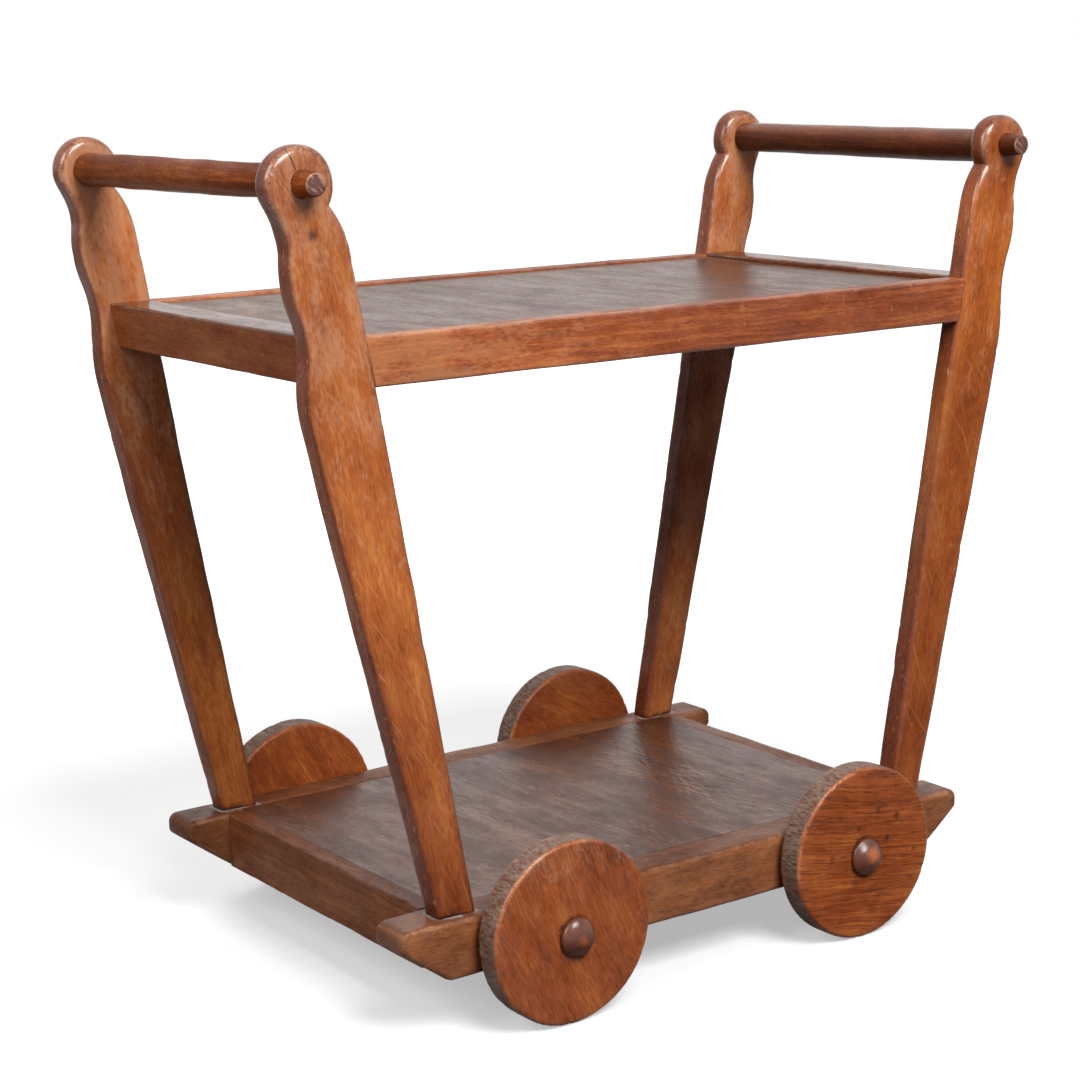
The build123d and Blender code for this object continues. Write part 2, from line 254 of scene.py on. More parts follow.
def board(edge_a, edge_b, low, high, radii, low_face, high_face, ledge=None):
    """Closed skin of a board between two edge lines, as grids of u, v, w and wear.

    Row k joins point k of line A to point k of line B. Round a row, the section runs down edge A, turns on a
    quarter circle onto the low face, crosses it at the given shares of its width, turns onto edge B, climbs
    it, and comes back over the high face. The four radii are those of A low, B low, B high and A high, and
    may change from row to row. A ledge (step, depth) cuts a rebate of that depth along A into the high face,
    with step given row by row. Wear is 1 on the middle of an arris and fades within a little of it.
    """
    out_a, out_b = outward(edge_a, edge_b), outward(edge_b, edge_a)
    r = np.array([np.broadcast_to(radius, len(edge_a)) for radius in radii])
    for k in (0, -1):
        if np.linalg.norm(edge_a[k] - edge_b[k]) < same_point:
            out_a[k] = out_b[k] = unit(out_a[k] + out_b[k])
            r[:2, k], r[2:, k] = r[:2, k].mean(), r[2:, k].mean()
    r_al, r_bl, r_bh, r_ah = r[..., None]
    high_a = high if ledge is None else high - ledge[0][:, None]
    turn = np.linspace(0, np.pi / 2, round_steps + 1)[None]
    parts = []

    def add(place, w, wear_and_highlight):
        w = np.broadcast_to(w, place.shape[:2])
        parts.append((np.concatenate([place, w[..., None]], -1), np.broadcast_to(wear_and_highlight, w.shape)))

    def side(line, r_low, r_high, top, shares):
        shares = np.array(shares)[None]
        w = (low + r_low) * (1 - shares) + (top - r_high) * shares
        add(np.repeat(line[:, None], shares.size, 1), w, 0.45 * np.abs(2 * shares - 1) ** 3)

    def rounding(line, out, radius, face, inward, angles):
        inset = radius * (1 - np.cos(angles))
        w = face + inward * radius * (1 - np.sin(angles))
        add(line[:, None] - inset[..., None] * out[:, None], w, 0.6 + 0.4 * np.sin(2 * angles))

    def face(r_a, r_b, w, shares):
        start, stop = edge_a - r_a * out_a, edge_b - r_b * out_b
        wear_and_highlight = 0.5 * np.clip(1 - np.minimum(shares, 1 - shares) / 0.12, 0, 1) ** 2
        add(start[:, None] + shares[..., None] * (stop - start)[:, None], w, wear_and_highlight)

    side(edge_a, r_al, r_ah, high_a, [0.5, 0.25])
    rounding(edge_a, out_a, r_al, low, 1, turn)
    face(r_al, r_bl, low, np.array(low_face)[None])
    rounding(edge_b, out_b, r_bl, low, 1, turn[:, ::-1])
    side(edge_b, r_bl, r_bh, high, [0.25, 0.5, 0.75])
    rounding(edge_b, out_b, r_bh, high, -1, turn)
    back = np.array(high_face)[None, ::-1]
    if ledge is None:
        face(r_ah, r_bh, high, back)
    else:
        at = ledge[1] / np.maximum(np.linalg.norm(edge_a - edge_b, axis=1), 2 * ledge[1])[:, None]
        face(r_ah, r_bh, high, 1 - (1 - at) * (1 - back))
        for w, shares in ((high, at), (high_a, at), (high_a, at * ledge_shares)):
            face(r_ah, r_bh, w, shares)
    rounding(edge_a, out_a, r_ah, high_a, -1, turn[:, ::-1])
    side(edge_a, r_al, r_ah, high_a, [0.75])
    places, wears = zip(*parts)
    return *axes_of(np.concatenate(places, 1)), np.concatenate(wears, 1)


def straight_board(half_top, half_low, top_z, low_z, rows):
    """Top and bottom edge line of a straight board, row by row from its negative to its positive end."""
    share = np.linspace(-1, 1, rows)
    return points_of(share * half_top, top_z), points_of(share * half_low, low_z)


def turned(profile, centre_x, centre_z, count):
    """Surface of revolution about Y: each (radius, y) of the profile carried round count angles."""
    angle = np.linspace(0, 2 * np.pi, count, endpoint=False)[None]
    radius, y = profile[:, :1], profile[:, 1:]
    return points_of(centre_x + radius * np.cos(angle), y, centre_z + radius * np.sin(angle))


def hand_worked(points, seed, amount=0.00018, wavelength=0.07):
    """Points moved by a slow uneven field in each direction, as a hand plane or a lathe leaves a surface."""
    return points + amount * points_of(*(sine_field(points, wavelength, seed + k) for k in range(3)))


def dented(points, dents):
    """Points pushed in at each dent (centre, direction, depth, width) by a bell curve of the distance."""
    for centre, direction, depth, width in dents:
        far = np.linalg.norm(points - np.array(centre), axis=-1, keepdims=True)
        points = points + np.array(direction) * depth * bell(far, width)
    return points


def grain_axes(along):
    """Three unit vectors of a board's wood: along its fibres, across them, and through the board."""
    along = unit(np.array(along, float))
    through = unit(np.cross(along, (0.0, 0.0, 1.0) if abs(along[2]) < 0.9 else (1.0, 0.0, 0.0)))
    return along, np.cross(through, along), through


def new_object(name, data):
    """Object with that data, in the scene."""
    made = bpy.data.objects.new(name, data)
    bpy.context.scene.collection.objects.link(made)
    return made


grain_along, grain_across = grain_axes((1, 0, 0)), grain_axes((0, 1, 0))
# Besides dirt, colour, bleaching, wearing and dusting, these traits paint shade, light and highlights.
trait_names = ("wear_and_highlight", "grime_and_shade", "dust_and_sheen", "end_grain", "tone_and_shade", "bleach_and_light", "polish")


def make_piece(node, points, traits, material, axes, seed, body="frame", ring=False,
               capped=False):
    """Mesh piece that stands for a node, from a grid whose columns close on themselves.

    Cells become quads; rows close too when ring is set, and capped end rows become flat caps. Its wood
    coordinates are the points along, across and through the fibres, moved by a seeded offset.
    """
    rows, columns = points.shape[:2]
    k = np.arange(rows if ring else rows - 1)[:, None]
    c = np.arange(columns)[None]
    k2, c2 = (k + 1) % rows, (c + 1) % columns
    quads = np.stack([k * columns + c, k * columns + c2, k2 * columns + c2, k2 * columns + c], -1)
    faces = quads.reshape(-1, 4).tolist()
    if capped:
        faces += [list(range(columns)), list(range((rows - 1) * columns, rows * columns))]
    flat = points.reshape(-1, 3)
    name = f"{node}_oak"
    mesh = bpy.data.meshes.new(name)
    mesh.from_pydata(flat.tolist(), [], faces)
    wood = flat @ np.stack(axes, 1) + np.random.default_rng(seed).uniform(-4, 4, 3)
    layer = mesh.attributes.new("grain", "FLOAT_VECTOR", "POINT")
    layer.data.foreach_set("vector", wood.astype(np.float32).ravel())
    for trait in trait_names:
        values = np.broadcast_to(traits.get(trait, 0.0), (rows, columns)).astype(np.float32)
        mesh.attributes.new(trait, "FLOAT", "POINT").data.foreach_set("value", values.ravel())
    work = bmesh.new()
    work.from_mesh(mesh)
    bmesh.ops.remove_doubles(work, verts=work.verts, dist=weld_distance)
    bmesh.ops.dissolve_degenerate(work, edges=work.edges, dist=sliver)
    bmesh.ops.recalc_face_normals(work, faces=work.faces)
    work.to_mesh(mesh)
    work.free()
    mesh.shade_smooth()
    mesh.materials.append(material)
    piece = new_object(name, mesh)
    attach(piece, body)
    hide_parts(node)


def paint(shade):
    """Linear colour of a display colour whose red, green and blue are given in 0 to 255."""
    share = np.array(shade) / 255
    linear = np.where(share <= 0.04045, share / 12.92, ((share + 0.055) / 1.055) ** 2.4)
    return (*linear, 1.0)


class Nodes:
    """Adds linked nodes to a tree and hands back their outputs; any input takes a socket or a plain value."""

    def __init__(self, tree):
        self.tree = tree

    def add(self, kind, inputs=(), **settings):
        node = self.tree.nodes.new(f"ShaderNode{kind}")
        for key, value in settings.items():
            setattr(node, key, value)
        for key, value in dict(inputs).items():
            if isinstance(value, bpy.types.NodeSocket):
                self.tree.links.new(value, node.inputs[key])
            else:
                node.inputs[key].default_value = value
        return node.outputs

    def math(self, operation, first, second=0.0):
        return self.add("Math", {0: first, 1: second}, operation=operation)[0]

    times = partialmethod(math, "MULTIPLY")
    plus = partialmethod(math, "ADD")
    minus = partialmethod(math, "SUBTRACT")
    larger = partialmethod(math, "MAXIMUM")

    def vector(self, operation, first, second=(0, 0, 0), result="Vector"):
        return self.add("VectorMath", {0: first, 1: second}, operation=operation)[result]

    def ramp(self, value, low, high, start=0.0, stop=1.0):
        inputs = {"Value": value, "From Min": low, "From Max": high, "To Min": start, "To Max": stop}
        return self.add("MapRange", inputs, interpolation_type="SMOOTHSTEP")[0]

    def noise(self, vector, stretch, detail=2.0, roughness=0.5):
        scaled = self.vector("MULTIPLY", vector, stretch)
        inputs = {"Vector": scaled, "Scale": 1.0, "Detail": detail, "Roughness": roughness}
        return self.add("TexNoise", inputs)[0]

    def swing(self, vector, stretch, detail=2.0):
        return self.minus(self.noise(vector, stretch, detail), 0.5)

    def mix(self, factor, first, second, blend="MIX"):
        inputs = {0: factor, 6: first, 7: second}
        return self.add("Mix", inputs, data_type="RGBA", blend_type=blend)[2]

    def trait(self, name):
        return self.add("Attribute", attribute_name=name)["Fac"]

    def group(self, tree, *inputs):
        return self.add("Group", enumerate(inputs), node_tree=tree)


def blank_nodes(owner):
    """The emptied node tree of a material or world, ready to fill."""
    owner.use_nodes = True
    owner.node_tree.nodes.clear()
    return Nodes(owner.node_tree)


def node_group(inputs, outputs):
    """Turns a function into a node group: it takes nodes and the inputs in order, and returns the outputs.

    Both name their sockets by kind.
    """
    def build(fill):
        tree = bpy.data.node_groups.new(fill.__name__, "ShaderNodeTree")
        for way, sockets in (("INPUT", inputs), ("OUTPUT", outputs)):
            for kind, labels in sockets.items():
                for label in labels.split():
                    tree.interface.new_socket(label, in_out=way, socket_type=f"NodeSocket{kind}")
        results = fill(Nodes(tree), *tree.nodes.new("NodeGroupInput").outputs.values()[:-1])
        for result, socket in zip(results, tree.nodes.new("NodeGroupOutput").inputs):
            tree.links.new(result, socket)
        return tree
    return build


@node_group({"Vector": "Grain Pitch", "Color": "Light Mid Dark",
             "Float": "Lines Rings Clouds Mottle Strokes"},
            {"Color": "Color", "Float": "Relief Figure"})
def oak_figure(n, grain, pitch, light, mid, dark, lines, rings, clouds, mottle, strokes):
    """Old waxed oak: short fibres and mottling over growth lines, in amber and brown clouds with dark pores.

    All but the clouds is noise drawn out along the fibres, whose course is gently bent by a slower noise.
    Thin rings run where the noise of the growth lines crosses its middle.
    """
    sway = n.times(n.swing(grain, (9, 30, 20)), 0.012)
    bent = n.vector("ADD", grain, n.add("CombineXYZ", {"Y": sway})[0])
    growth = n.noise(bent, pitch)
    short = n.noise(bent, (140, 760, 500))
    fibre = n.noise(bent, (150, 1600, 900))
    spread = n.noise(bent, (85, 220, 200), 3.0, 0.6)
    cloud = n.noise(grain, (14, 30, 30), 3.0, 0.6)
    pores = n.ramp(n.noise(bent, (75, 900, 600), 1.0), 0.60, 0.72)

    def part(value, weight):
        return n.times(n.minus(value, 0.5), weight)

    drawn = part(growth, lines)
    fine = n.plus(part(short, strokes), part(fibre, 0.35))
    broad = n.plus(part(cloud, clouds), part(spread, mottle))
    figure = n.plus(n.plus(broad, drawn), fine)
    lower = n.mix(n.ramp(figure, -0.45, 0.05), dark, mid)
    colour = n.mix(n.ramp(figure, -0.05, 0.36), lower, light)
    thread = n.ramp(n.math("ABSOLUTE", n.minus(growth, 0.5)), 0.0, 0.05, 1.0, 0.0)
    thin = n.larger(n.times(pores, 0.5), n.times(thread, rings))
    relief = n.plus(n.plus(n.times(short, 0.6), n.times(fibre, 0.4)), n.times(drawn, 0.6))
    return n.mix(thin, colour, dark), n.minus(relief, n.times(pores, 0.25)), n.ramp(figure, -0.3, 0.3)


@node_group({"Vector": "Vector Stretch"}, {"Float": "Value"})
def cut_ridges(n, vector, stretch):
    """Ridges of cut fibre ends: noise as fine as the stretch, and a slower noise of the same kind."""
    broad = n.noise(vector, n.vector("MULTIPLY", stretch, (0.3, 0.5, 0.3)))
    return [n.plus(n.times(n.noise(vector, stretch), 0.7), n.times(broad, 0.3))]


@node_group({"Vector": "Vector", "Float": "Trait Level Break"}, {"Float": "Mask"})
def patchy_film(n, vector, trait, level, break_up):
    """Patchy film: a trait of the surface broken up by two sizes of noise and cut off softly at a level."""
    coarse, fine = n.swing(vector, (70, 70, 70), 3.0), n.swing(vector, (420, 420, 420))
    broken = n.times(n.plus(coarse, n.times(fine, 0.7)), break_up)
    return [n.ramp(n.plus(trait, broken), n.minus(level, 0.2), n.plus(level, 0.25))]


@node_group({"Vector": "Vector Turn", "Float": "Scratches Scuffs"}, {"Float": "Mask"})
def knocks(n, vector, turn, scratches, scuffs):
    """Marks of use: hairline scratches at two slants and small pale scuffs, noise cut off near its peaks.

    Turn lays the scratches' long direction into the face that they are seen on.
    """
    hairlines = []
    for share in (1.0, 1.32):
        rotation = n.vector("MULTIPLY", turn, (share, share, share))
        laid = n.add("Mapping", {"Vector": vector, "Rotation": rotation})[0]
        hairlines.append(n.ramp(n.noise(laid, (17, 560, 560), 0.0), 0.73, 0.80))
    rubs = n.ramp(n.noise(vector, (120, 120, 90)), 0.67, 0.76)
    return [n.larger(n.times(n.larger(*hairlines), scratches), n.times(rubs, scuffs))]


@node_group({"Vector": "Vector Centre", "Float": "Radius"}, {"Float": "Mask"})
def soft_spot(n, vector, centre, radius):
    """Soft-edged spot round a centre, with an uneven outline."""
    wobble = n.times(n.swing(vector, (300, 300, 160)), 0.8)
    share = n.math("DIVIDE", n.vector("DISTANCE", vector, centre, "Value"), radius)
    return [n.ramp(n.plus(share, wobble), 1.15, 0.2)]


@node_group({"Vector": "Vector Start End", "Float": "Width"}, {"Float": "Mask"})
def drying_crack(n, vector, start, end, width):
    """Hairline crack that goes in along Y: the distance to a wavering line in X and Z, cut off at a width.

    Across Y the distance counts for little, so that the crack runs on over a rounded arris and then fades.
    """
    waver = n.times(n.swing(vector, (70, 70, 70), 1.0), 0.004)
    moved = n.vector("ADD", vector, n.add("CombineXYZ", {"X": waver})[0])
    run = n.vector("SUBTRACT", end, start)
    here = n.vector("MULTIPLY", n.vector("SUBTRACT", moved, start), (1.0, 0.03, 1.0))
    done, whole = (n.vector("DOT_PRODUCT", a, run, "Value") for a in (here, run))
    share = n.add("Math", {0: done, 1: whole}, operation="DIVIDE", use_clamp=True)[0]
    nearest = n.add("VectorMath", {0: run, "Scale": share}, operation="SCALE")[0]
    return [n.ramp(n.math("DIVIDE", n.vector("DISTANCE", here, nearest, "Value"), width), 1.0, 0.3)]


# The first colour darkens dirt and painted shade in corners, at joints, under the tray and round hubs.
grime_and_shade_paint, crack_paint = paint((38, 23, 16)), paint((24, 14, 10))
pale_share, cut_share, grime_and_shade_share, dust_and_sheen_share = 0.4, 0.92, 0.75, 0.6
upright_slant, level_slant = (0.0, -0.95, 0.0), (0.0, 0.0, 1.1)


def make_oak(name, light, mid, dark, worn, dust_and_sheen_colour=(150, 136, 124), end=(70, 45, 32), lines=0.3,
             pitch=(7, 210, 80), rings=0.12, clouds=0.9, mottle=0.35, strokes=0.5, wear_and_highlight_share=0.45,
             scratches=0.25, scuffs=0.25, slant=upright_slant, rough=0.42, relief=0.3, gloss=0.3, patchy=0.4,
             cut_stretch=None, cut_turn=(0.0, 0.0, 0.0), cut_shade=0.8, cut_crest=0.35, spots=(),
             spot_shade=(84, 46, 38), cracks=()):
    """Waxed oak: figured wood, worn arrises, dark corners, dusting, and painted shade and light."""
    material = bpy.data.materials.new(name)
    n = blank_nodes(material)
    shades = (light, mid, dark, worn, dust_and_sheen_colour, end, spot_shade)
    light, mid, dark, worn, dust_and_sheen_colour, end, spot_shade = (paint(shade) for shade in shades)
    here = n.add("TexCoord")["Object"]
    grain = n.add("Attribute", attribute_name="grain")["Vector"]
    drawn_out = n.vector("MULTIPLY", grain, (0.4, 1.0, 1.0))
    polish, cut = n.trait("polish"), n.trait("end_grain")
    figured, height, figure = n.group(
        oak_figure, grain, pitch, light, mid, dark, lines, rings, clouds, mottle, strokes)

    def film(trait, vector, level, broken):
        return n.group(patchy_film, vector, n.trait(trait), level, broken)[0]

    # The first mask also carries painted highlights, the second painted shade.
    wear_and_highlight, grime_and_shade = film("wear_and_highlight", here, 1.0, 0.9), film("grime_and_shade", here, 0.62, 0.9)
    # The first mask also carries a painted pale sheen, the second painted light.
    dust_and_sheen, pale = film("dust_and_sheen", here, 0.6, 1.1), film("bleach_and_light", drawn_out, 0.62, 1.2)
    marks = n.group(knocks, here, slant, scratches, scuffs)[0]
    darker = [low / high for low, high in zip(dark, mid)]
    # Darker by a trait that is partly the wood's own colour and partly painted shade.
    colour = n.mix(n.trait("tone_and_shade"), figured, darker, "MULTIPLY")
    colour = n.mix(n.times(pale, pale_share), colour, worn)
    colour = n.mix(n.times(cut, cut_share), colour, end)
    if cut_stretch:
        laid = n.add("Mapping", {"Vector": here, "Rotation": cut_turn})[0]
        ridges = n.group(cut_ridges, laid, cut_stretch)[0]
        colour = n.mix(n.times(cut, n.ramp(ridges, 0.56, 0.38, 0.0, cut_shade)), colour, dark)
        colour = n.mix(n.times(cut, n.ramp(ridges, 0.55, 0.66, 0.0, cut_crest)), colour, worn)
        height = n.plus(height, n.times(n.times(ridges, cut), 2.5))
    # Paler on worn arrises, and on arrises where a highlight is painted.
    colour = n.mix(n.times(wear_and_highlight, wear_and_highlight_share), colour, worn)
    colour = n.mix(marks, colour, worn)
    # Darker with dirt, and with painted shade in corners, at joints, under the tray and round hubs.
    colour = n.mix(n.times(grime_and_shade, grime_and_shade_share), colour, grime_and_shade_paint)
    # Paler with dusting, and with a painted pale sheen beside the legs' feet.
    colour = n.mix(n.times(dust_and_sheen, dust_and_sheen_share), colour, dust_and_sheen_colour)
    for centre, radius, depth in spots:
        spot = n.group(soft_spot, here, centre, radius)[0]
        colour = n.mix(n.times(spot, depth), colour, spot_shade)
    for start, stop, width in cracks:
        crack = n.group(drying_crack, here, start, stop, width)[0]
        colour = n.mix(crack, colour, crack_paint)
        height = n.minus(height, n.times(crack, 3.0))
    uneven = n.times(n.minus(1.0, n.times(polish, 0.8)), relief)
    bump = n.add("Bump", {"Strength": uneven, "Distance": 0.0006, "Height": height})[0]
    rubbed = n.minus(n.times(dust_and_sheen, 0.25), n.times(polish, 0.2))
    sheen = n.plus(rubbed, n.ramp(figure, 0.0, 1.0, rough + 0.08, rough - 0.06))
    patches = n.ramp(n.noise(grain, (20, 50, 50), 5.0, 0.65), 0.36, 0.64, 1 - patchy, 1 + patchy)
    level = n.plus(n.times(polish, 0.35), n.times(patches, gloss))
    for mask, share in ((dust_and_sheen, 0.5), (cut, 0.6)):
        level = n.times(level, n.minus(1.0, n.times(mask, share)))
    inputs = {"Base Color": colour, "Roughness": sheen, "Specular IOR Level": level, "Normal": bump}
    n.add("OutputMaterial", {0: n.add("BsdfPrincipled", inputs)[0]})
    return material


def spots_on(y, *marks):
    """Spots on a face at y, each from its X, Z, radius and depth of colour."""
    return [((x, y, z), radius, depth) for x, z, radius, depth in marks]


leg_knots = spots_on(
    -0.195, (-0.3636, 0.665, 0.0066, 0.85), (-0.3518, 0.6568, 0.0042, 0.35), (-0.3583, 0.646, 0.0036, 0.4))
head_crack = ((-0.3833, -0.195, 0.7330), (-0.3762, -0.195, 0.7136), 0.00055)
wheel_flecks = spots_on(
    -0.2365, (0.1551, 0.1039, 0.0042, 0.75), (0.1899, 0.0890, 0.0042, 0.90), (0.2016, 0.1077, 0.0048, 0.80),
    (0.1789, 0.1170, 0.0044, 0.60), (0.1230, 0.0821, 0.0048, 0.50), (0.1513, 0.0534, 0.0072, 0.45),
    (0.2237, 0.0721, 0.0044, 0.45))
bare_domes = (((0.1635, -0.2475, 0.0810), 0.0090, 0.85), ((-0.1620, -0.2465, 0.0760), 0.0058, 0.50))
wheel_shades = ((212, 122, 60), (176, 88, 42), (98, 46, 22), (194, 144, 110))
rim_stretch = (800, 150, 800)

leg_oak = make_oak(
    "leg_oak", (212, 130, 60), (182, 96, 40), (110, 49, 22), (206, 150, 112), gloss=0.12, relief=0.2)
# A lighter copy of the leg oak, for the far legs: painted light.
far_leg_oak = make_oak(
    "far_leg_oak", (226, 146, 76), (196, 110, 52), (118, 56, 29), (206, 156, 122), gloss=0.2, relief=0.2)
knotty_leg_oak = make_oak(
    "knotty_leg_oak", (212, 134, 68), (182, 100, 49), (112, 52, 28), (206, 154, 118), gloss=0.18, relief=0.2,
    scratches=0.35, spots=leg_knots, cracks=[head_crack])
tray_apron_oak = make_oak(
    "tray_apron_oak", (196, 114, 62), (160, 79, 41), (96, 43, 23), (200, 142, 98), pitch=(6, 240, 80),
    lines=0.9, rings=0.2, scratches=0.12, wear_and_highlight_share=0.3)
end_rail_oak = make_oak(
    "end_rail_oak", (166, 100, 54), (141, 75, 38), (88, 43, 22), (192, 134, 94), gloss=0.07, scratches=0.1,
    relief=0.12, scuffs=0.0, patchy=0.1)
rail_oak = make_oak(
    "rail_oak", (170, 110, 70), (143, 86, 53), (79, 44, 28), (176, 126, 94), dust_and_sheen_colour=(178, 172, 168),
    clouds=1.3, scratches=0.12, gloss=0.2)
apron_oak = make_oak(
    "apron_oak", (149, 90, 53), (123, 70, 40), (72, 38, 22), (144, 92, 60), gloss=0.08, lines=0.7,
    scratches=0.1)
tray_oak = make_oak(
    "tray_oak", (100, 62, 37), (78, 45, 26), (48, 26, 16), (150, 102, 68), slant=level_slant, clouds=0.7,
    lines=0.25, strokes=0.45, rough=0.34, relief=0.25, gloss=0.46, patchy=0.22, scratches=0.1, scuffs=0.0,
    dust_and_sheen_colour=(132, 96, 72))
deck_oak = make_oak(
    "deck_oak", (100, 58, 33), (74, 40, 23), (46, 24, 15), (140, 90, 56), slant=level_slant, lines=0.6,
    strokes=0.4, rough=0.32, relief=0.4, gloss=0.4, patchy=0.3, scratches=0.12, scuffs=0.05)
wheel_oak = make_oak(
    "wheel_oak", *wheel_shades, end=(114, 100, 91), cut_stretch=rim_stretch, pitch=(16, 420, 60),
    lines=0.35, rings=0.25, clouds=1.1, mottle=0.4, scratches=0.08, scuffs=0.12, gloss=0.22)
lined_wheel_oak = make_oak(
    "lined_wheel_oak", *wheel_shades, end=(122, 108, 99), cut_stretch=rim_stretch, pitch=(12, 390, 60),
    lines=0.5, rings=0.75, clouds=1.0, mottle=0.3, strokes=0.3, scratches=0.0, scuffs=0.1, gloss=0.1,
    spots=wheel_flecks, spot_shade=(66, 32, 20))
handle_oak = make_oak(
    "handle_oak", (156, 85, 37), (125, 61, 26), (72, 33, 18), (222, 168, 126), end=(112, 83, 80),
    cut_stretch=(90, 60, 760), cut_turn=(0.0, -0.8, 0.0), cut_shade=0.4, cut_crest=0.55, rough=0.48,
    relief=0.15, gloss=0.05, scratches=0.0, scuffs=0.1, lines=0.7, rings=0.3)
hub_oak = make_oak(
    "hub_oak", (116, 66, 47), (92, 49, 35), (50, 26, 18), (190, 150, 130), rough=0.46, gloss=0.16,
    scratches=0.0, scuffs=0.0, spots=bare_domes, spot_shade=(184, 98, 54))
spacer_oak = make_oak("spacer_oak", (112, 64, 38), (90, 50, 28), (54, 29, 17), (190, 140, 96))


def inner_edge_x(z):
    """Distance from the middle to a leg's straight inner edge at height z."""
    return foot_inner_x + inner_lean * (z - deck_top)


def arc_run(start, end_z, from_tilt, to_tilt):
    """End point of an arc that climbs from start to end_z while its tilt from upright changes."""
    share = (math.cos(from_tilt) - math.cos(to_tilt)) / (math.sin(to_tilt) - math.sin(from_tilt))
    return start[0] + (end_z - start[1]) * share, end_z


def on_head(angle):
    """Points of the round head's rim at angles from the X axis."""
    return points_of(head_x + head_radius * np.cos(angle), head_z + head_radius * np.sin(angle))


def leg_edges(head_lift):
    """Inner and outer edge line of a leg of the right end in X and Z, from the foot to the top of its head.

    The inner line is straight up to the shoulder, then a tangent arc to the cusp; the outer line is straight,
    then arcs of changing tilt through bulge, waist, swell and neck. Both end as arcs of the head's circle,
    whose upper half is drawn out by head_lift. Two more rows keep the cusp sharp.
    """
    outer_tilt = math.atan(outer_lean)

    def heading(tilt):
        return math.sin(tilt), math.cos(tilt)

    shoulder = (inner_edge_x(shoulder_z), shoulder_z)
    bulge_low = (foot_outer_x + outer_lean * (lower_bulge_z[0] - deck_top), lower_bulge_z[0])
    bulge_high = arc_run(bulge_low, lower_bulge_z[1], outer_tilt, 0)
    waist = (bulge_high[0], waist_top_z)
    swell = arc_run(waist, upper_bulge_z[0], 0, upper_bulge_tilt)
    neck = arc_run(swell, upper_bulge_z[1], upper_bulge_tilt, neck_tilt)
    inner = [[(foot_inner_x, deck_top)], tangent_arc(shoulder, (inner_lean, 1), on_head(cusp_angle))]
    outer = [[(foot_outer_x, deck_top)], tangent_arc(bulge_low, heading(outer_tilt), bulge_high),
             tangent_arc(waist, heading(0), swell), tangent_arc(swell, heading(upper_bulge_tilt), neck),
             tangent_arc(neck, heading(neck_tilt), on_head(neck_angle))]
    edges = []
    for runs, start in ((inner, cusp_angle), (outer, neck_angle)):
        head = on_head(np.linspace(start, math.pi / 2, head_rows))
        line = np.concatenate([spaced(np.concatenate(runs), shaft_rows), head[1:]])
        line[:, 1] += head_lift * np.clip((line[:, 1] - head_z) / head_radius, 0, 1)
        edges.append(line)
    edges[1] = eased(edges[1], on_head(neck_angle), reach=0.014, passes=26)
    return [crowded(line, shaft_rows - 1) for line in edges]


